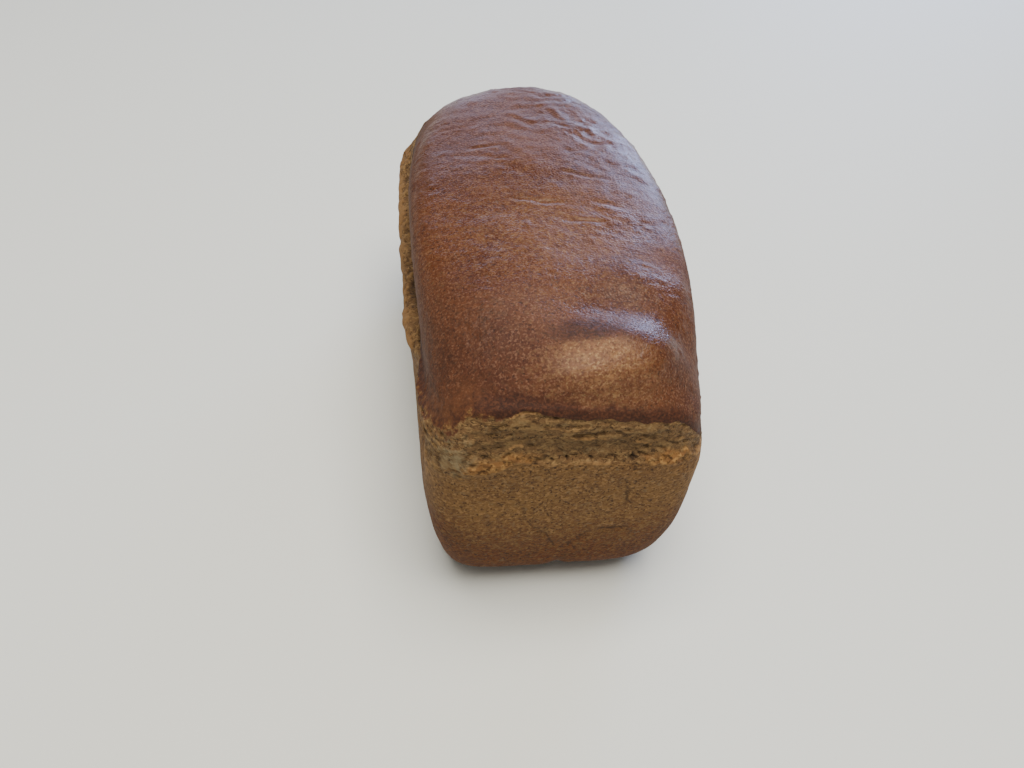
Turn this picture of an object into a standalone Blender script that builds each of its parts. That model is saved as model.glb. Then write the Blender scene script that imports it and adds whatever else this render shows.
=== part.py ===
"""A wholemeal tin loaf, baked as one piece, standing on its flat base.

Metres, +Z up. The loaf's length runs along Y, its width along X, and the origin is at the
centre of its footprint. The tin shapes everything below the rim; above it the dough has risen
out of the tin, torn in a rough band all round, and set as a domed crust that hangs over the band.
"""

import math
from collections import namedtuple

import bmesh
import bpy
from mathutils import Vector

# Driving dimensions of the baked loaf, overall.
WIDTH = 0.120
LENGTH = 0.238
HEIGHT = 0.133

# Share of WIDTH / 2, LENGTH / 2 and HEIGHT at each ring round the loaf, from the underside up.
# The torn band is short at the long sides and tall at the ends, so each ring has two heights.
# Squareness is the superellipse exponent of the ring's outline: high is a box, 2 is an oval.
Ring = namedtuple("Ring", "side_height half_width end_height half_length squareness")
WALL_RINGS = (
    Ring(0.000, 0.810, 0.000, 0.885, 6.5),  # edge of the flat underside
    Ring(0.024, 0.880, 0.045, 0.932, 6.2),  # rounded bottom edge, from the tin's corner
    Ring(0.110, 0.932, 0.125, 0.970, 8.0),  # foot of the tin wall
    Ring(0.330, 0.968, 0.330, 0.985, 9.0),  # the tin wall leans out as it rises
    Ring(0.560, 0.978, 0.540, 0.991, 8.0),  # just under the tin's rim
    Ring(0.640, 1.000, 0.625, 1.000, 6.5),  # the lip that spilt over the rim
    Ring(0.675, 0.965, 0.690, 0.964, 6.0),  # hollow of the torn band
    Ring(0.715, 0.996, 0.800, 0.950, 5.4),  # lower edge of the top crust
    Ring(0.800, 1.006, 0.870, 0.932, 4.0),  # the dome's side
    Ring(0.915, 1.000, 0.950, 0.884, 3.0),  # the dome's shoulder
)
TOP_RINGS = (
    Ring(0.972, 0.840, 0.974, 0.795, 2.7),
    Ring(0.992, 0.560, 0.991, 0.560, 2.4),
    Ring(0.998, 0.280, 0.998, 0.285, 2.2),
    Ring(1.000, 0.000, 1.000, 0.000, 2.0),  # the crown
)

# Faces of the coarse cage across the width and along the length; both even, so that a row of
# points runs through the crown.
ACROSS = 2 * len(TOP_RINGS)
ALONG = 18
SMOOTHING = 1  # levels of Subdivision Surface

# Low swellings (+) and hollows (-) of the top crust: centre as a share of the half-width and
# half-length, reach across and along in metres, and height in metres.
Swell = namedtuple("Swell", "across along reach_across reach_along height")
SWELLS = (
    Swell(0.55, -0.43, 0.026, 0.011, -0.0030),  # a fold on the right, behind the front edge
    Swell(0.35, -0.62, 0.030, 0.016, 0.0016),
    Swell(-0.45, 0.10, 0.040, 0.050, 0.0012),
    Swell(0.10, 0.45, 0.034, 0.012, -0.0012),  # a crossways crease towards the back
)

CRUST_BROWN = (0.205, 0.070, 0.032, 1.0)
CRUST_ROUGHNESS = 0.45


def clear_scene():
    for obj in list(bpy.data.objects):
        bpy.data.objects.remove(obj, do_unlink=True)


def mix(low, high, share):
    return low + (high - low) * share


def between(rings, step):
    """The ring at a whole or broken step through rings, mixed from its two neighbours."""
    low = min(int(step), len(rings) - 2)
    pairs = zip(rings[low], rings[low + 1])
    return Ring(*(mix(first, second, step - low) for first, second in pairs))


def on_ring(ring, u, v):
    """The loaf's point on a ring, for a point (u, v) on the outline of the square from -1 to 1."""
    round_off = (abs(u) ** ring.squareness + abs(v) ** ring.squareness) ** (-1 / ring.squareness)
    u, v = u * round_off, v * round_off
    end_share = v**4 / (u**4 + v**4)
    return Vector((
        u * ring.half_width * WIDTH / 2,
        v * ring.half_length * LENGTH / 2,
        mix(ring.side_height, ring.end_height, end_share) * HEIGHT,
    ))


def on_loaf(u, v, w):
    """Carries a point of the cube from -1 to 1 to the loaf's surface."""
    out_from_middle = max(abs(u), abs(v))
    if abs(w) < 1 or out_from_middle == 1:
        return on_ring(between(WALL_RINGS, (w + 1) / 2 * (len(WALL_RINGS) - 1)), u, v)
    if out_from_middle == 0:
        return Vector((0, 0, HEIGHT if w > 0 else 0))
    u, v = u / out_from_middle, v / out_from_middle
    if w > 0:
        rings = WALL_RINGS[-1:] + TOP_RINGS
        return on_ring(between(rings, (1 - out_from_middle) * (len(rings) - 1)), u, v)
    underside = on_ring(WALL_RINGS[0], u, v) * out_from_middle
    return Vector((underside.x, underside.y, 0))


def swelling(point):
    """Height that the swellings and hollows add to the top crust at a point."""
    total = 0
    for swell in SWELLS:
        across = (point.x - swell.across * WIDTH / 2) / swell.reach_across
        along = (point.y - swell.along * LENGTH / 2) / swell.reach_along
        total += swell.height * math.exp(-(across**2) - along**2)
    return total


def cube_grid(bm, across, along, up):
    """A cube from -1 to 1 whose faces are cut into a grid."""
    bmesh.ops.create_cube(bm, size=2)
    for axis, faces in ((0, across), (1, along), (2, up)):
        edges = [e for e in bm.edges if abs(e.verts[0].co[axis] - e.verts[1].co[axis]) > 1]
        bmesh.ops.subdivide_edges(bm, edges=edges, cuts=faces - 1, use_grid_fill=True)


def loaf_cage():
    """The coarse cage of the loaf, as a mesh."""
    bm = bmesh.new()
    cube_grid(bm, ACROSS, ALONG, len(WALL_RINGS) - 1)
    for vert in bm.verts:
        vert.co = on_loaf(*vert.co)
    dome_foot = WALL_RINGS[-2].side_height * HEIGHT
    for vert in bm.verts:
        if vert.co.z > dome_foot:
            vert.co.z += swelling(vert.co)
    mesh = bpy.data.meshes.new("loaf_cage")
    bm.to_mesh(mesh)
    bm.free()
    return mesh


def crust_material():
    material = bpy.data.materials.new("baked_crust")
    material.use_nodes = True
    shader = material.node_tree.nodes["Principled BSDF"]
    shader.inputs["Base Color"].default_value = CRUST_BROWN
    shader.inputs["Roughness"].default_value = CRUST_ROUGHNESS
    shader.inputs["Metallic"].default_value = 0.0
    return material


def smoothed(cage):
    """The cage's mesh after its Subdivision Surface."""
    guide = bpy.data.objects.new("loaf_guide", cage)
    bpy.context.scene.collection.objects.link(guide)
    subdivision = guide.modifiers.new("Smooth", "SUBSURF")
    subdivision.levels = subdivision.render_levels = SMOOTHING
    graph = bpy.context.evaluated_depsgraph_get()
    mesh = bpy.data.meshes.new_from_object(guide.evaluated_get(graph))
    bpy.data.objects.remove(guide)
    return mesh


def fit_to_size(mesh):
    """Stretches the mesh to the driving dimensions and stands it on the origin.

    Subdivision draws a cage's corners in, so the smoothed loaf comes out a little small.
    """
    lows = [min(v.co[axis] for v in mesh.vertices) for axis in range(3)]
    highs = [max(v.co[axis] for v in mesh.vertices) for axis in range(3)]
    sizes = (WIDTH, LENGTH, HEIGHT)
    stands_at = (0.5, 0.5, 0.0)  # share of each size that lies before the origin
    for vert in mesh.vertices:
        for axis, size in enumerate(sizes):
            share = (vert.co[axis] - lows[axis]) / (highs[axis] - lows[axis])
            vert.co[axis] = (share - stands_at[axis]) * size


def main():
    clear_scene()
    mesh = smoothed(loaf_cage())
    fit_to_size(mesh)
    mesh.name = "loaf"
    mesh.shade_smooth()
    mesh.materials.append(crust_material())
    collection = bpy.data.collections.new("tin_loaf")
    bpy.context.scene.collection.children.link(collection)
    collection.objects.link(bpy.data.objects.new("loaf", mesh))


main()
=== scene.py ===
"""A large wholemeal loaf baked in a tin, standing on a pale worktop by a window."""

import math

import bmesh
import bpy
import numpy as np
from mathutils import Matrix, Vector, noise


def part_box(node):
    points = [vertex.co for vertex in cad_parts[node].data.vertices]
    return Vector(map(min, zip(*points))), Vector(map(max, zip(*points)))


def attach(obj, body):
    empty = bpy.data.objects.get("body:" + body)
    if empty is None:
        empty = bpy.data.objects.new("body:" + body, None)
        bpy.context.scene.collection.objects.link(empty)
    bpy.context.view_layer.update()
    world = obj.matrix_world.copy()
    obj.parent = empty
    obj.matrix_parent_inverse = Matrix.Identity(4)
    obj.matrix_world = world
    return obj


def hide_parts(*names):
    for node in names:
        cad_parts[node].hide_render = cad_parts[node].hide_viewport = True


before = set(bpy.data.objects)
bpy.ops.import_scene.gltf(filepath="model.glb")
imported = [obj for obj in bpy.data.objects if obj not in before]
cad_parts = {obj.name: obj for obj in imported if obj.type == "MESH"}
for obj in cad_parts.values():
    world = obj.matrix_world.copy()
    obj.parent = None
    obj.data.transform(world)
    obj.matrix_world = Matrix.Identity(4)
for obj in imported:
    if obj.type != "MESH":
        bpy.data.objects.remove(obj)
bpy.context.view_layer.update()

# ---- The dough in its tin -----------------------------------------------------------------------
# One lump of wholemeal dough, proved and baked in a tapered tin until it stood well over the rim.
# The tin's walls, rounded corners and flat floor set everything below the rim; the dome above it
# rose free, so it leans a little to one side and to the front.
MM = 0.001
(low_x, low_y, low_z), (high_x, high_y, high_z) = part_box("loaf")
WIDTH, LENGTH, HEIGHT = high_x - low_x, high_y - low_y, high_z - low_z

ACROSS, ALONG = 26, 52  # faces of the cage across and along the loaf
LEAN_X, LEAN_Y = 2.4 * MM, -1.6 * MM  # how far the dome leans, right and forwards
TIP = -0.12  # slope of the rim and the crust's edge across the front end, down to the right

# Sections through the loaf, from the underside up: height at the sides and at the ends as a share
# of HEIGHT, half-width and half-length as a share of the tin's, squareness of the outline (2 is
# an oval, 8 nearly a box), and how many rows of faces lie between this section and the one below.
SECTIONS = (
    (0.000, 0.000, 0.773, 0.865, 5.7, 0),  # edge of the flat underside
    (0.023, 0.050, 0.832, 0.900, 5.7, 1),  # rounded by the tin's bottom corner
    (0.112, 0.140, 0.860, 0.967, 7.2, 2),
    (0.318, 0.335, 0.915, 0.996, 9.5, 4),  # the tin's wall
    (0.543, 0.599, 0.957, 1.000, 8.1, 4),
    (0.645, 0.707, 0.982, 0.998, 6.5, 3),  # the tin's rim
    (0.680, 0.853, 0.917, 0.943, 6.5, 8),  # lower edge of the top crust
    (0.784, 0.883, 0.946, 0.913, 3.9, 4),
    (0.911, 0.944, 0.957, 0.873, 2.4, 3),  # the dome's shoulder
    (0.962, 0.981, 0.841, 0.779, 2.0, 0),
    (0.988, 0.996, 0.566, 0.541, 2.0, 0),
    (0.998, 1.000, 0.286, 0.278, 2.0, 0),
    (1.000, 1.000, 0.000, 0.000, 2.0, 0),  # the crown
)
RIM, CRUST_EDGE, SHOULDER, CROWN = 5, 6, 8, 12
rows_up_to = np.cumsum([section[5] for section in SECTIONS[: SHOULDER + 1]])
ROWS = int(rows_up_to[-1])


def select_edges_along(mesh, axis):
    """Selects, in edit mode, the edges of an upright block that run along one axis."""
    bm = bmesh.from_edit_mesh(mesh)
    for edge in bm.edges:
        run = edge.verts[1].co - edge.verts[0].co
        edge.select_set(abs(run[axis]) > 0.99 * run.length)
    bmesh.update_edit_mesh(mesh)


def smooth_step(low, high, value):
    """0 below low, 1 above high, and a smooth rise between."""
    share = np.clip((value - low) / (high - low), 0, 1)
    return share * share * (3 - 2 * share)


def section_at(step):
    """The sections read as smooth curves, at whole or broken steps."""
    table = np.array([section[:5] for section in SECTIONS])
    table = np.vstack([2 * table[0] - table[1], table, 2 * table[-1] - table[-2]])
    whole = np.clip(step.astype(int), 0, CROWN - 1)
    part = (step - whole)[:, None]
    a, b, c, d = (table[whole + shift] for shift in range(4))
    curve = 2 * b + (c - a) * part
    curve += (2 * a - 5 * b + 4 * c - d) * part**2 + (3 * b - a - 3 * c + d) * part**3
    return (curve / 2).T


def end_share(u, v):
    """0 along the loaf's sides, 1 across its ends, and a quick turn at the corners."""
    return v**4 / np.maximum(u**4 + v**4, 1e-9)


def tipped(x, y):
    """How much higher the rim and the crust's edge run at a place, as the front end dips right."""
    return TIP * x * smooth_step(10 * MM, -100 * MM, y)


def points_of(mesh):
    points = np.empty(len(mesh.vertices) * 3, np.float32)
    mesh.vertices.foreach_get("co", points)
    return points.reshape(-1, 3).astype(float)


def set_points(mesh, points):
    mesh.vertices.foreach_set("co", points.astype(np.float32).ravel())
    mesh.update()


bpy.ops.object.select_all(action="DESELECT")
bpy.ops.mesh.primitive_cube_add(
    size=1,
    location=((low_x + high_x) / 2, (low_y + high_y) / 2, (low_z + high_z) / 2),
    scale=(WIDTH, LENGTH, HEIGHT),
)
loaf = bpy.context.object
loaf.name = loaf.data.name = "bread_loaf"
bpy.ops.object.transform_apply(location=True, rotation=True, scale=True)

bpy.ops.object.mode_set(mode="EDIT")
bpy.ops.mesh.select_mode(type="EDGE")
for axis, faces in enumerate((ACROSS, ALONG, ROWS)):
    select_edges_along(loaf.data, axis)
    bpy.ops.mesh.subdivide(number_cuts=faces - 1)
bpy.ops.object.mode_set(mode="OBJECT")

# The block is pressed to the tin's shape below the rim and risen to the dome above it. u and v are
# a point's place across and along from -1 to 1, out is how far it lies from the middle, and step is
# its place in the list of sections.
block = points_of(loaf.data)
u = (block[:, 0] - (low_x + high_x) / 2) / (WIDTH / 2)
v = (block[:, 1] - (low_y + high_y) / 2) / (LENGTH / 2)
row = np.rint((block[:, 2] - low_z) / HEIGHT * ROWS)
out = np.maximum(np.abs(u), np.abs(v))
on_top = (row == ROWS) & (out < 1 - 1e-4)
underneath = (row == 0) & (out < 1 - 1e-4)
step = np.interp(row, rows_up_to, np.arange(SHOULDER + 1))
step[on_top] = SHOULDER + (CROWN - SHOULDER) * (1 - out[on_top])
u, v = u / np.maximum(out, 1e-6), v / np.maximum(out, 1e-6)
side_height, end_height, half_width, half_length, squareness = section_at(step)
rounding = (np.abs(u) ** squareness + np.abs(v) ** squareness + 1e-9) ** (-1 / squareness)
u, v = u * rounding, v * rounding
risen = smooth_step(RIM, CRUST_EDGE + 0.5, step)
spread = np.where(underneath, out, 1)
block[:, 0] = u * half_width * spread * WIDTH / 2 + LEAN_X * risen
block[:, 1] = v * half_length * spread * LENGTH / 2 + LEAN_Y * risen
block[:, 2] = (side_height + (end_height - side_height) * end_share(u, v)) * HEIGHT
near_rim = smooth_step(3, 5.5, step) * smooth_step(8.3, 6.3, step)
block[:, 2] += tipped(block[:, 0], block[:, 1]) * near_rim

# Near the front left corner the crust slumped over the rim, and the side under it is drawn in.
TUCK_DEPTH, HOLLOW_DEPTH = 4.5, 6  # mm: a short tuck, and a longer hollow that leads into it
along, up = block[:, 1] / MM, block[:, 2] / MM
tuck = smooth_step(-106, -88, along) * smooth_step(-58, -78, along)
tuck *= smooth_step(60, 85, up) * smooth_step(97, 91, up)
under = smooth_step(-104, -88, along) * smooth_step(-34, -72, along)
under *= smooth_step(64, 78, up) * smooth_step(96, 91, up)
left_side = block[:, 0] < -40 * MM
block[:, 0] += (TUCK_DEPTH * tuck + HOLLOW_DEPTH * under) * MM * left_side
set_points(loaf.data, block)

smoothing = loaf.modifiers.new("Smoothing", "SUBSURF")
smoothing.levels = smoothing.render_levels = 2
bpy.ops.object.modifier_apply(modifier=smoothing.name)

# The flat of the underside needs no small faces.
bpy.ops.object.mode_set(mode="EDIT")
bpy.ops.mesh.select_mode(type="FACE")
bm = bmesh.from_edit_mesh(loaf.data)
for face in bm.faces:
    top_corner = max(corner.co.z for corner in face.verts)
    face.select_set(top_corner < low_z + 0.001 * MM)
bmesh.update_edit_mesh(loaf.data)
bpy.ops.mesh.dissolve_faces()
bpy.ops.object.mode_set(mode="OBJECT")
bpy.ops.object.shade_smooth()

# ---- The torn band, the lip and the tin-side crust ----------------------------------------------
# Above the rim the skin stretched and tore, and left a rough band of pulled strands between the
# tin's mark and the top crust: tall at the ends, a narrow ledge along the sides. Its lower edge
# baked hard against the rim as a broken ridge at the ends and a rolled lip at the sides.
points = points_of(loaf.data) / MM
normals = np.empty(len(points) * 3, np.float32)
loaf.data.vertices.foreach_get("normal", normals)
normals = normals.reshape(-1, 3).astype(float)
x, y, z = points.T
flat = points * (1, 1, 0)
height = HEIGHT / MM
ends = end_share(x / (WIDTH / MM / 2), y / (LENGTH / MM / 2))
front = smooth_step(-60, -100, y)


def grain(places, size, seed):
    """Soft noise from about -1 to 1 whose lumps are size millimetres across, along X, Y and Z."""
    scaled = places / np.array(size) + seed * np.array((7.13, 3.71, 5.37))
    return np.array([noise.noise(Vector(place)) for place in scaled]) * 1.6


def hump(value, middle, reach):
    """1 at the middle, falling smoothly to nothing about twice the reach away."""
    return np.exp(-(((value - middle) / reach) ** 2))


tip = tipped(x * MM, y * MM) / MM
rim = height * (0.645 + 0.062 * ends) + tip + 0.9 * grain(flat, 26, 1) + 0.5 * grain(flat, 7, 2)
sag = 6.5 * smooth_step(-20, -36, x) + 5.5 * smooth_step(-38, -43, x)
sag += 5.5 * smooth_step(-44, -54, x)
rim -= sag * front * ends  # it sags in steps under the flap at the front left corner
crust_edge = height * (0.680 + 0.173 * ends) + tip
crust_edge -= front * (5 * hump(x, 52, 8) + 3 * hump(x, -47, 7))
over_lip = smooth_step(-40, -92, y) * smooth_step(-30, -50, x)  # the crust hangs down at the left
crust_edge -= 6 * over_lip * (1 - ends)
crust_edge += 1.3 * grain(flat, 18, 3) + 0.8 * grain(flat, 5, 4) * (0.3 + 0.7 * ends)
above_edge = z - crust_edge
above_rim = z - rim
crust = smooth_step(-0.5, 0.7, above_edge)
tin_side = smooth_step(0.8, -0.8, above_rim)
band = np.clip(1 - crust - tin_side, 0, 1)
up_band = np.clip(above_rim / np.maximum(crust_edge - rim, 3), 0, 1)

# Strands pulled level round the loaf, bending with the crust's edge, lumps where they broke, and
# small gas holes.
level = np.clip(above_rim, 0, 40) - 0.35 * (crust_edge - rim)
pulled = np.column_stack((x, y, level + 1.2 * grain(flat, 9, 5)))
strands = grain(pulled, (7, 7, 1.5), 6) + 0.7 * grain(pulled, (3.4, 3.4, 1.1), 7)
lumps = grain(points, (12, 12, 5), 8)
holes = smooth_step(0.42, 0.7, grain(pulled, (3.2, 3.2, 1.5), 9))
flap = hump(x, -43.5, 7) * hump(z, 96, 8) * front  # pulled out at the front left corner
torn = (0.24 * strands + 0.36 * lumps) * (1 - 0.25 * flap) - 0.5 * holes
torn += ends * (0.8 * hump(up_band, 0.86, 0.12) - 1.3 * hump(up_band, 0.42, 0.24))
relief = band * (torn - 0.3) + 1.3 * flap

# The ridge along the rim at the ends: thick and crumbly in places, else thin over a row of pits.
crumbly = np.where(
    y < 0,
    hump(x, -34, 17) + hump(x, 38, 11),
    smooth_step(-0.3, 0.4, grain(flat, 24, 10)),
)
crumbly = np.clip(crumbly, 0, 1) * ends
crumbs = 0.7 * grain(points, 2.6, 11) + 0.5 * grain(points, 1.7, 12)
ridge = hump(above_rim, 2.6, 3.4) * crumbly * (1 - 0.6 * flap)
relief += ridge * (1.2 + crumbs)
thin_line = hump(above_rim, 0.3, 0.8) * ends
pits = smooth_step(0.05, 0.45, grain(flat, 2.8, 13))
pit_row = hump(above_rim, 2.6, 1.0) * pits * ends * (1 - crumbly)
relief += 0.5 * thin_line - 1.4 * pit_row

# Short tears in the band, each a broken slit over a thin raised thread, the slit darkened with
# painted shade.
TEARS = (  # from x, to x, height at the middle, slope
    (-4, 14, 105.5, -0.12),
    (-33, -18, 103, 0.25),
    (20, 30, 101, -0.3),
    (-15, 3, 110.5, -0.05),
)
tears, threads = np.zeros(len(x)), np.zeros(len(x))
broken = smooth_step(-0.5, 0.5, grain(flat, 4, 34))
end_x = np.where(y < 0, x, -x)  # the far end tore the same way, seen from its own side
for start, stop, middle, rise in TEARS:
    share = (end_x - start) / (stop - start)
    line = middle + rise * (end_x - (start + stop) / 2) + 0.8 * grain(flat, 6, 33)
    here = smooth_step(0, 0.2, share) * smooth_step(1, 0.8, share) * band * ends
    tears = np.maximum(tears, hump(z, line, 0.6) * here * broken)
    threads = np.maximum(threads, hump(z, line - 1.7, 0.8) * here)
relief += 0.5 * threads - 0.9 * tears

# The lip rolled over the rim along the sides, scalloped, with a crack between it and the crust.
sides = (1 - ends) * smooth_step(-106, -84, y) * (1 - 0.7 * over_lip)
scallop = 1.1 + 0.55 * grain(flat, 12, 14) + 0.3 * grain(flat, 5, 15)
lip = hump(above_rim, -0.6, 2.6) * sides
relief += 1.15 * lip * scallop - 0.6 * hump(above_rim, -6.5, 2.0) * sides
opened = smooth_step(-0.5, 0.1, grain(flat, 11, 16))
side_crack = hump(above_edge, -1.2, 1.0) * sides * (1 - over_lip) * opened
relief -= 1.0 * side_crack

# The top crust stands a little proud of the band, with flakes of skin lifted along its edge.
flakes = hump(above_edge, -0.4, 0.55) * smooth_step(-0.2, 0.5, grain(flat, 8, 17)) * ends
relief += crust * np.exp(-np.maximum(above_edge, 0) / 4) * (0.25 + 0.4 * grain(flat, 8, 18))
relief += 0.35 * flakes

# Against the tin the crust is smooth, but for slight waves, pinholes, a few hairline cracks on the
# front end and a pinch in its lower edge. The cracks are given as (x, z) points.
CRACKS = (
    ((-18, 68), (-17, 61), (-14, 56), (-7, 48), (-3, 38)),
    ((3, 38), (8.5, 46), (15, 49), (26, 49)),
    ((20.5, 82), (22, 76), (23.5, 66)),
    ((21.5, 97), (22.5, 88)),
)


def distance_to(line):
    """How far each point of the front end is from a line of (x, z) points."""
    nearest = np.full(len(x), 1e3)
    for (x0, z0), (x1, z1) in zip(line, line[1:]):
        run = (x1 - x0) ** 2 + (z1 - z0) ** 2
        share = np.clip(((x - x0) * (x1 - x0) + (z - z0) * (z1 - z0)) / run, 0, 1)
        away = np.hypot(x - x0 - share * (x1 - x0), z - z0 - share * (z1 - z0))
        nearest = np.minimum(nearest, away)
    return nearest


crack = np.zeros(len(x))
for line in CRACKS:
    crack = np.maximum(crack, hump(distance_to(line) + 0.4 * grain(points, 4, 19), 0, 0.8))
crack *= smooth_step(-100, -110, y)
pinholes = smooth_step(0.5, 0.75, grain(points, 3.0, 20))
relief += tin_side * (0.35 * grain(points, 30, 21) + 0.12 * grain(points, 6, 22) - 0.2 * pinholes)
relief -= 0.45 * crack + 1.6 * hump(x, 1, 3.0) * smooth_step(26, 12, z) * smooth_step(-95, -105, y)

relief *= smooth_step(-0.95, -0.6, normals[:, 2])  # the underside stays flat
points += normals * relief[:, None]

# ---- The top crust ------------------------------------------------------------------------------
# The skin that dried first in the oven and was carried up whole: thin, hard and finely grained,
# with soft swellings, a few fine crossways creases, and one fold where it sank near the front.
FOLD_MIDDLE, FOLD_REACH = (11, -112), (40, 29)  # the fold curls round behind this place
FOLD_RADIUS, FOLD_WIDTH, FOLD_DEPTH = 33, 9.5, 2.1
STEEPEST = 1.65  # brings the fold's curve up to FOLD_DEPTH at its highest and lowest
fold_x, fold_y = ((points[:, i] - FOLD_MIDDLE[i]) / FOLD_REACH[i] for i in (0, 1))
slope = (np.hypot(fold_x, fold_y) - 1) * FOLD_RADIUS / FOLD_WIDTH
turn = np.degrees(np.arctan2(fold_y, fold_x))
fold = -STEEPEST * FOLD_DEPTH * slope * np.exp(-(slope**2) / 2)
fold *= smooth_step(24, 50, turn) * smooth_step(125, 70, turn)

SWELLINGS = (  # middle x, middle y, reach x, reach y, height
    (12, -100, 18, 9, 0.8),
    (31, -60, 17, 15, 0.8),
    (-28, -70, 22, 18, 0.35),
    (0, 20, 30, 26, 0.5),
)
CREASES = (  # from x, to x, at y, slope, depth, width
    (-15, 12, -10, -0.16, 0.65, 1.1),
    (20, 37, -13, -0.3, 0.5, 1.3),
    (4, 27, -23.5, -0.12, 0.65, 1.1),
    (-30, -8, 34, 0.1, 0.5, 1.2),
    (10, 34, 8, -0.25, 0.6, 1.2),
)
dome = crust * smooth_step(0.2, 0.6, normals[:, 2])
top = fold * dome
for middle_x, middle_y, reach_x, reach_y, rise in SWELLINGS:
    top += rise * hump(x, middle_x, reach_x) * hump(y, middle_y, reach_y) * dome
for start, stop, across, rise, depth, width in CREASES:
    share = (x - start) / (stop - start)
    line = across + rise * (x - (start + stop) / 2) + 0.9 * grain(flat, 7, 23)
    here = smooth_step(0, 0.25, share) * smooth_step(1, 0.75, share)
    top -= depth * hump(y, line, width) * here * dome
    top += 0.2 * depth * hump(y, line - 2.8, 2.0) * here * dome

# Wrinkles, mostly on the far half and to the right, over the grain of the skin and a few blisters.
wrinkled = smooth_step(-25, 50, y) * smooth_step(-0.6, 0.3, grain(flat, 24, 32) + x / 100)
wrinkled *= 0.45 + 0.55 * smooth_step(-25, 15, x)
swirled = flat + 4.5 * np.column_stack((grain(flat, 15, 35), grain(flat, 15, 36), 0 * x))
top += dome * (0.7 * grain(flat, 42, 24) + 0.25 * grain(flat, 13, 25))
wrinkles = 0.38 * grain(swirled, (10, 6.5, 1), 26) + 0.24 * grain(swirled, (5, 3.8, 1), 27)
top += dome * wrinkled * wrinkles
right_side = smooth_step(10, 40, x) * smooth_step(-55, -20, y)
leather = 0.16 * grain(points, 4.6, 28) * (0.35 + 0.65 * np.maximum(wrinkled, right_side))
blisters = 0.25 * smooth_step(0.6, 0.85, grain(points, 3.4, 30))
top += crust * (leather + 0.09 * grain(points, 2.6, 29) + blisters)
points += normals * top[:, None]
points[:, 2] = np.maximum(points[:, 2], low_z / MM)
set_points(loaf.data, points * MM)

# How the baking coloured each place, with painted light and shade among it, kept on the mesh for
# the material. The skin is lighter before the fold; it is darker along its edge, partly deeper
# browning and partly painted shade, with painted shade in the fold's hollow and over the near left;
# and it is dull where it is steep or rubbed, and along its edge.
fading = front * smooth_step(-20, -42, x)  # the crust's edge fades out at the front left
edge_blur = 0.7 + 9 * fading
before_fold = smooth_step(-91, -94, y + 0.004 * (x - 6) ** 2)
pale = 1.2 * hump(x, 8, 16) * hump(y, -98, 8) * before_fold
pale += 0.35 * hump(x, 5, 28) * hump(y, -111, 9)
pale += 0.4 * hump(x, 0, 40) * hump(y, -30, 45)
upward = normals[:, 2]
dull = smooth_step(0.85, 0.5, upward) * smooth_step(15, -20, x) + smooth_step(14, 3, above_edge)
dull += 0.5 * smooth_step(-55, -85, y) * smooth_step(15, -15, x)
dull += 0.3 * smooth_step(-0.3, 0.9, grain(flat, 24, 31)) + 0.6 * hump(x, 48, 18) * hump(y, -47, 12)
dull += 0.35 * hump(x, 8, 18) * hump(y, -100, 9)
dull += 0.8 * smooth_step(0.8, 0.5, upward) * smooth_step(0, 25, x) * smooth_step(60, 10, y)
# Darker along the crust's edge, partly deeper browning and partly painted shade; painted shade in
# the fold's hollow, at its right end and over the near left of the top.
deep_brown_and_shade = 1.7 * smooth_step(6.5, 0, above_edge) * (1 - 0.9 * fading) * (0.4 + 0.6 * ends)
deep_brown_and_shade += 0.5 * smooth_step(-35, -85, y) * smooth_step(-8, -34, x)
deep_brown_and_shade += 1.5 * hump(x, 4, 12) * hump(y, -88, 5) + 0.3 * hump(x, 40, 20) * hump(y, -95, 12)
corners = hump(ends, 0.5, 0.3)
# Lighter front corners: painted light on the front end's right edge, where the light falls; the
# front left corner is drawn lighter too.
lighter_front_corners = 0.65 * front * (hump(x, 51, 5) * hump(z, 78, 15) + hump(x, -55, 4) * hump(z, 84, 15))
marks = {
    "crust": smooth_step(-edge_blur, edge_blur, above_edge),
    "torn": np.clip(band + lip, 0, 1),
    "light": band * np.clip(0.5 + 0.35 * strands + 0.3 * lumps - holes, 0, 1),
    # Painted shade in the band's gas holes.
    "holes": band * holes,
    # Painted shade in the band's hollow and under the crust's overhang.
    "hollow_shade": band * ends * (hump(up_band, 0.4, 0.2) + 0.7 * hump(up_band, 1, 0.15)),
    # Painted shade in the pits below the ridge, the tears and the cracks.
    "crack_shade": np.clip(pit_row + 0.55 * tears + 0.6 * side_crack + 0.6 * crack, 0, 1),
    "toast": np.clip(1.5 * ridge * (0.7 + 0.5 * crumbs), 0, 1),
    # Flakes, threads and the thin line, plus the lighter front corners, painted light on the right
    # one.
    "flakes": np.clip(flakes + 0.8 * threads + 0.6 * thin_line * (1 - crumbly) + lighter_front_corners, 0, 1),
    "ashen": np.clip(1.2 * flap * band * (0.65 + 0.6 * strands), 0, 1),
    "pale": np.clip(pale, 0, 1),
    "deep_brown_and_shade": np.clip(deep_brown_and_shade, 0, 1),
    "dull": np.clip(dull, 0, 1),
    "faded": np.clip(fading * smooth_step(16, 2, above_edge), 0, 1),
    "lip": np.clip(lip * scallop, 0, 1),
    # Darker towards the bottom and low at the corners: partly real browning against the tin's floor,
    # partly painted shade.
    "browned_and_shade": np.clip(smooth_step(85, 8, z) + 0.5 * corners * smooth_step(80, 50, z), 0, 1),
}
for name, values in marks.items():
    layer = loaf.data.attributes.new(name, "FLOAT", "POINT")
    layer.data.foreach_set("value", values.astype(np.float32))

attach(loaf, "root")
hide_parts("loaf")

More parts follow.
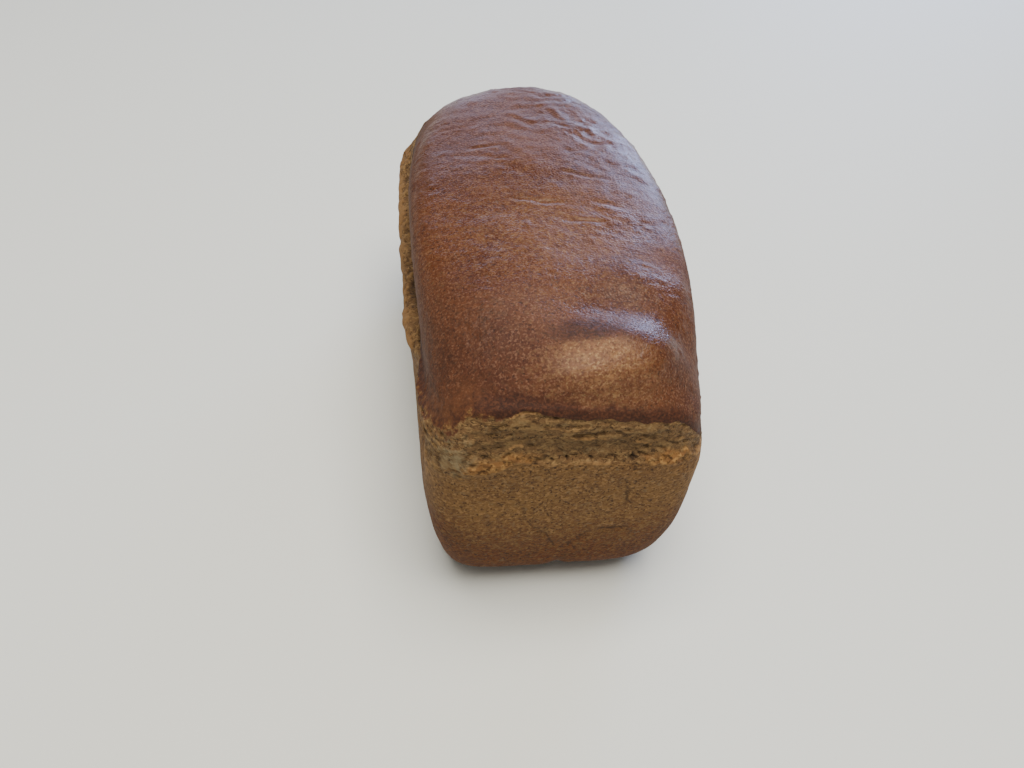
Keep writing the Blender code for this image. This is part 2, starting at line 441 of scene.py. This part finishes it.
# ---- The crust's colours and finish -------------------------------------------------------------
# All one skin of baked dough. The top browned deepest, to a thin satin crust specked with bran;
# the band tore late and stayed pale and dull; against the tin it browned evenly to a dry tan.
# Over these lie painted shade, darker towards the bottom, in the band's hollows, holes, tears and
# cracks, along the crust's edge and in the fold, and painted light on the front end's right edge.
def linear(hex_colour):
    """An sRGB hex colour as the linear colour a shader takes."""
    parts = [int(hex_colour[i : i + 2], 16) / 255 for i in (1, 3, 5)]
    return [c / 12.92 if c <= 0.04045 else ((c + 0.055) / 1.055) ** 2.4 for c in parts] + [1]


def add_node(tree, kind, inputs=(), **settings):
    """Adds a node with its settings; an input is a value, or a node or an output to link from."""
    made = tree.nodes.new("ShaderNode" + kind)
    for name, value in settings.items():
        setattr(made, name, value)
    for name, value in dict(inputs).items():
        named = [s for s in made.inputs if s.enabled and s.name == name]
        socket = made.inputs[name] if isinstance(name, int) else named[0]
        if isinstance(value, bpy.types.Node):
            value = next(s for s in value.outputs if s.enabled)
        if isinstance(value, bpy.types.NodeSocket):
            tree.links.new(value, socket)
        else:
            socket.default_value = value
    return made


baked = bpy.data.materials.new("baked_dough_skin")
baked.use_nodes = True
tree = baked.node_tree
shader = tree.nodes["Principled BSDF"]
shader.inputs["IOR"].default_value = 1.4  # starch and a trace of fat
where = add_node(tree, "TexCoord").outputs["Object"]
where = add_node(tree, "VectorMath", {0: where, "Scale": 1 / MM}, operation="SCALE")  # millimetres
mark = {name: add_node(tree, "Attribute", attribute_name=name) for name in marks}

# Each zone starts as two colours in soft blotches, whose size follows in mm, and takes its flecks
# and fibres in layers: size of the pattern along X, Y and Z in mm, from and to which noise value,
# strength, colour. Real bran and pores are about half a millimetre; they are drawn about 1 mm across
# so that they show.
ZONES = {
    "tin": ("#654625", "#71522c", 20, (
        ((3.6, 3.6, 3), 0.42, 0.62, 0.5, "#7f5c33"),
        ((1.6, 1.6, 1.3), 0.48, 0.62, 0.55, "#482f16"),
        ((1.25, 1.25, 1.1), 0.52, 0.64, 0.6, "#967145"),
        ((1.1, 1.1, 1.0), 0.58, 0.66, 0.75, "#281709"),
    )),
    # Colours for the lower sides: real browning, darkened further as painted shade.
    "browned_and_shade": ("#492606", "#592c08", 16, (
        ((3.6, 3.6, 3), 0.42, 0.6, 0.7, "#63370e"),
        ((1.6, 1.6, 1.4), 0.47, 0.6, 0.65, "#371a03"),
        ((1.25, 1.25, 1.1), 0.52, 0.63, 0.7, "#724314"),
        ((1.1, 1.1, 1.0), 0.57, 0.65, 0.8, "#1e0a02"),
    )),
    "torn": ("#63492c", "#715536", 14, (
        ((3.4, 3.4, 1.6), 0.45, 0.62, 0.55, "#412d18"),
        ((2.3, 2.3, 1.0), 0.52, 0.63, 0.8, "#8b6e46"),
        ((1.5, 1.5, 1.0), 0.56, 0.66, 0.85, "#2b1b0b"),
    )),
    "toast": ("#74502c", "#835e32", 5, (
        ((2.0, 2.0, 1.6), 0.5, 0.62, 0.8, "#a17a47"),
        ((1.7, 1.7, 1.3), 0.52, 0.64, 0.85, "#482e0f"),
    )),
    "pale": ("#785136", "#875e3f", 12, (
        ((2.4, 2.2, 2.2), 0.45, 0.6, 0.5, "#a17a4e"),
        ((1.15, 1.1, 1.1), 0.48, 0.62, 0.6, "#4d2b15"),
        ((1.0, 1.0, 1.0), 0.54, 0.66, 0.6, "#b99869"),
    )),
    # Colours for deeper browning and for painted shade.
    "deep_brown_and_shade": ("#2e1409", "#3a1a0c", 10, (
        ((1.2, 1.1, 1.1), 0.45, 0.6, 0.55, "#5a331d"),
        ((1.0, 1.0, 1.0), 0.54, 0.66, 0.7, "#170803"),
    )),
    "top": ("#482414", "#5a331c", 26, (
        ((3.2, 3, 3), 0.42, 0.62, 0.3, "#673f24"),
        ((1.15, 1.1, 1.1), 0.45, 0.6, 0.45, "#3d1d0d"),
        ((0.85, 0.85, 0.85), 0.52, 0.66, 0.4, "#8f6a52"),
        ((1.0, 1.0, 1.0), 0.58, 0.68, 0.7, "#221009"),
    )),
}
zone_colour, zone_grain = {}, {}
for seed, (zone, (first, second, blotch_size, layers)) in enumerate(ZONES.items()):
    offset = (13.1 * seed, 7.7 * seed, 3.3 * seed)
    blotch = {"Vector": where, "Scale": (1 / blotch_size,) * 3, "Location": offset}
    blotch = add_node(tree, "Mapping", blotch)
    blotch = add_node(tree, "TexNoise", {"Vector": blotch, "Scale": 1.0, "Detail": 2.0})
    share = add_node(tree, "MapRange", {"Value": blotch, "From Min": 0.35, "From Max": 0.65})
    tint = {"Factor": share, "A": linear(first), "B": linear(second)}
    colour = add_node(tree, "Mix", tint, data_type="RGBA")
    for size, low, high, strength, shade in layers:
        offset = tuple(v + 5.9 for v in offset)
        spread = tuple(1 / s for s in size)
        fleck = add_node(tree, "Mapping", {"Vector": where, "Scale": spread, "Location": offset})
        tangle = 1.2 if zone == "torn" else 0.0  # the torn band's strands run into each other
        fleck = {"Vector": fleck, "Scale": 1.0, "Detail": 2.0, "Distortion": tangle}
        fleck = add_node(tree, "TexNoise", fleck)
        limits = {"Value": fleck, "From Min": low, "From Max": high, "To Max": strength}
        share = add_node(tree, "MapRange", limits)
        tint = {"Factor": share, "A": colour, "B": linear(shade)}
        colour = add_node(tree, "Mix", tint, data_type="RGBA")
    zone_colour[zone], zone_grain[zone] = colour, fleck

# The zones are laid over each other with ragged edges, and tinted by the marks on the mesh.
ragged = add_node(tree, "Mapping", {"Vector": where, "Scale": (0.4, 0.4, 0.4)})
ragged = add_node(tree, "TexNoise", {"Vector": ragged, "Scale": 1.0, "Detail": 3.0})
OVERLAYS = (  # mark, how ragged, from and to which value it shows, strength, zone or colour
    # Painted shade towards the bottom, over real browning against the tin's floor.
    ("browned_and_shade", 0.6, 0.25, 0.85, 1.0, "browned_and_shade"),
    ("torn", 0.5, 0.4, 0.6, 1.0, "torn"),
    ("light", 0.5, 0.5, 1.0, 0.45, "#a08051"),
    # Painted shade in the band's hollow and under the crust's overhang.
    ("hollow_shade", 0.4, 0.2, 0.9, 0.45, "#453621"),
    ("lip", 0.8, 0.3, 0.8, 0.8, "#86643d"),
    ("ashen", 0.9, 0.2, 0.9, 0.55, "#85795c"),
    ("toast", 0.5, 0.25, 0.6, 1.0, "toast"),
    # Lifted flakes and threads, and painted light on the front end's right edge.
    ("flakes", 0.7, 0.4, 0.8, 0.75, "#957044"),
    # Painted shade in the band's gas holes.
    ("holes", 0.4, 0.3, 1.0, 0.6, "#35240f"),
    # Painted shade in the pits, tears and cracks.
    ("crack_shade", 0.3, 0.25, 0.7, 0.85, "#241608"),
    ("crust", 0.5, 0.4, 0.6, 1.0, "top"),
    ("faded", 0.5, 0.2, 0.9, 0.7, "#6a4122"),
    ("pale", 0.6, 0.1, 1.0, 0.75, "pale"),
    # Deeper browning along the crust's edge with painted shade there, and painted shade in the
    # fold's hollow and over the near left.
    ("deep_brown_and_shade", 0.7, 0.2, 0.9, 0.9, "deep_brown_and_shade"),
)
colour = zone_colour["tin"]
shown = {}
for name, raggedness, low, high, strength, over in OVERLAYS:
    push = {
        "Value": ragged,
        "From Min": 0.3,
        "From Max": 0.7,
        "To Min": -raggedness / 2,
        "To Max": raggedness / 2,
    }
    push = add_node(tree, "MapRange", push)
    pushed = add_node(tree, "Math", {0: mark[name], 1: push}, operation="ADD")
    limits = {"Value": pushed, "From Min": low, "From Max": high, "To Max": strength}
    shown[name] = add_node(tree, "MapRange", limits)
    if name in ("faded", "deep_brown_and_shade", "pale"):  # these stay on the top crust
        both = {0: shown[name], 1: shown["crust"]}
        shown[name] = add_node(tree, "Math", both, operation="MULTIPLY")
    over = zone_colour[over] if over in zone_colour else linear(over)
    tint = {"Factor": shown[name], "A": colour, "B": over}
    colour = add_node(tree, "Mix", tint, data_type="RGBA")
tree.links.new(next(s for s in colour.outputs if s.enabled), shader.inputs["Base Color"])

# The top crust has a satin sheen that varies with its flecks; torn and tin-side dough is dry.
SATIN_LOW, SATIN_HIGH, DULL_CRUST, DRY_DOUGH = 0.25, 0.39, 0.8, 0.85
satin = {"Value": zone_grain["top"], "From Min": 0.3, "From Max": 0.7}
satin.update({"To Min": SATIN_LOW, "To Max": SATIN_HIGH})
satin = add_node(tree, "MapRange", satin)
satin = {"Factor": mark["dull"], "A": satin, "B": DULL_CRUST}
satin = add_node(tree, "Mix", satin, data_type="FLOAT")
finish = {"Factor": shown["crust"], "A": DRY_DOUGH, "B": satin.outputs[0]}
finish = add_node(tree, "Mix", finish, data_type="FLOAT")
tree.links.new(finish.outputs[0], shader.inputs["Roughness"])

# The flecks are also pores and bran in low relief, about half a millimetre deep.
rise = {"Factor": shown["torn"], "A": zone_grain["tin"], "B": zone_grain["torn"]}
rise = add_node(tree, "Mix", rise, data_type="FLOAT")
fine = {"Value": zone_grain["top"], "From Min": 0.0, "From Max": 1.0, "To Min": 0.2, "To Max": 0.8}
fine = add_node(tree, "MapRange", fine)
rise = {"Factor": shown["crust"], "A": rise, "B": fine}
rise = add_node(tree, "Mix", rise, data_type="FLOAT")
bump = add_node(tree, "Bump", {"Strength": 0.8, "Distance": 0.5 * MM, "Height": rise}, invert=True)
tree.links.new(bump.outputs["Normal"], shader.inputs["Normal"])
loaf.data.materials.append(baked)

# ---- The worktop --------------------------------------------------------------------------------
# Only something plain and pale to stand the loaf on: a wipe-clean laminate, slightly cool white.
bpy.ops.object.select_all(action="DESELECT")
bpy.ops.mesh.primitive_plane_add(size=5, location=(0, 0, low_z))
worktop = bpy.context.object
worktop.name = "worktop"
laminate = bpy.data.materials.new("pale_laminate")
laminate.use_nodes = True
laminate_shader = laminate.node_tree.nodes["Principled BSDF"]
laminate_shader.inputs["Base Color"].default_value = linear("#e8ede8")
laminate_shader.inputs["Roughness"].default_value = 0.6
worktop.data.materials.append(laminate)

# ---- Light --------------------------------------------------------------------------------------
# Soft room light from above, and a cool window low behind the loaf on the right, whose glow lies
# along the dome's right shoulder and far end.
world = bpy.data.worlds.new("room")
bpy.context.scene.world = world
world.use_nodes = True
backdrop = world.node_tree.nodes["Background"]
backdrop.inputs["Color"].default_value = linear("#fbf8f2")
backdrop.inputs["Strength"].default_value = 0.25


def add_panel(name, place, aim, size, power, colour):
    lamp = bpy.data.lights.new(name, "AREA")
    lamp.shape = "RECTANGLE"
    lamp.size, lamp.size_y = size
    lamp.energy = power
    lamp.color = linear(colour)[:3]
    holder = bpy.data.objects.new(name, lamp)
    bpy.context.scene.collection.objects.link(holder)
    holder.location = place
    holder.rotation_euler = (Vector(aim) - Vector(place)).to_track_quat("-Z", "Y").to_euler()


add_panel("ceiling", (0.05, -0.2, 1.9), (0, 0, 0), (1.4, 1.4), 58, "#fff6ea")
add_panel("window", (1.05, 1.5, 0.56), (0, 0.02, 0.12), (0.8, 0.5), 19, "#b4cbff")
add_panel("far_window", (0.1, 1.9, 0.5), (0, 0.02, 0.12), (1.2, 0.4), 7, "#c0d2ff")

# ---- Camera -------------------------------------------------------------------------------------
PITCH, YAW, ROLL = math.radians(46.76), math.radians(10.38), math.radians(4.74)
camera = bpy.data.objects.new("camera", bpy.data.cameras.new("camera"))
bpy.context.scene.collection.objects.link(camera)
camera.location = (-57.5 * MM, -290.3 * MM, 323.6 * MM)
camera.data.sensor_width = 36
camera.data.lens = 28.1
look = Matrix.Rotation(-YAW, 4, "Z") @ Matrix.Rotation(math.pi / 2 - PITCH, 4, "X")
camera.rotation_euler = (look @ Matrix.Rotation(ROLL, 4, "Z")).to_euler()
bpy.context.scene.camera = camera
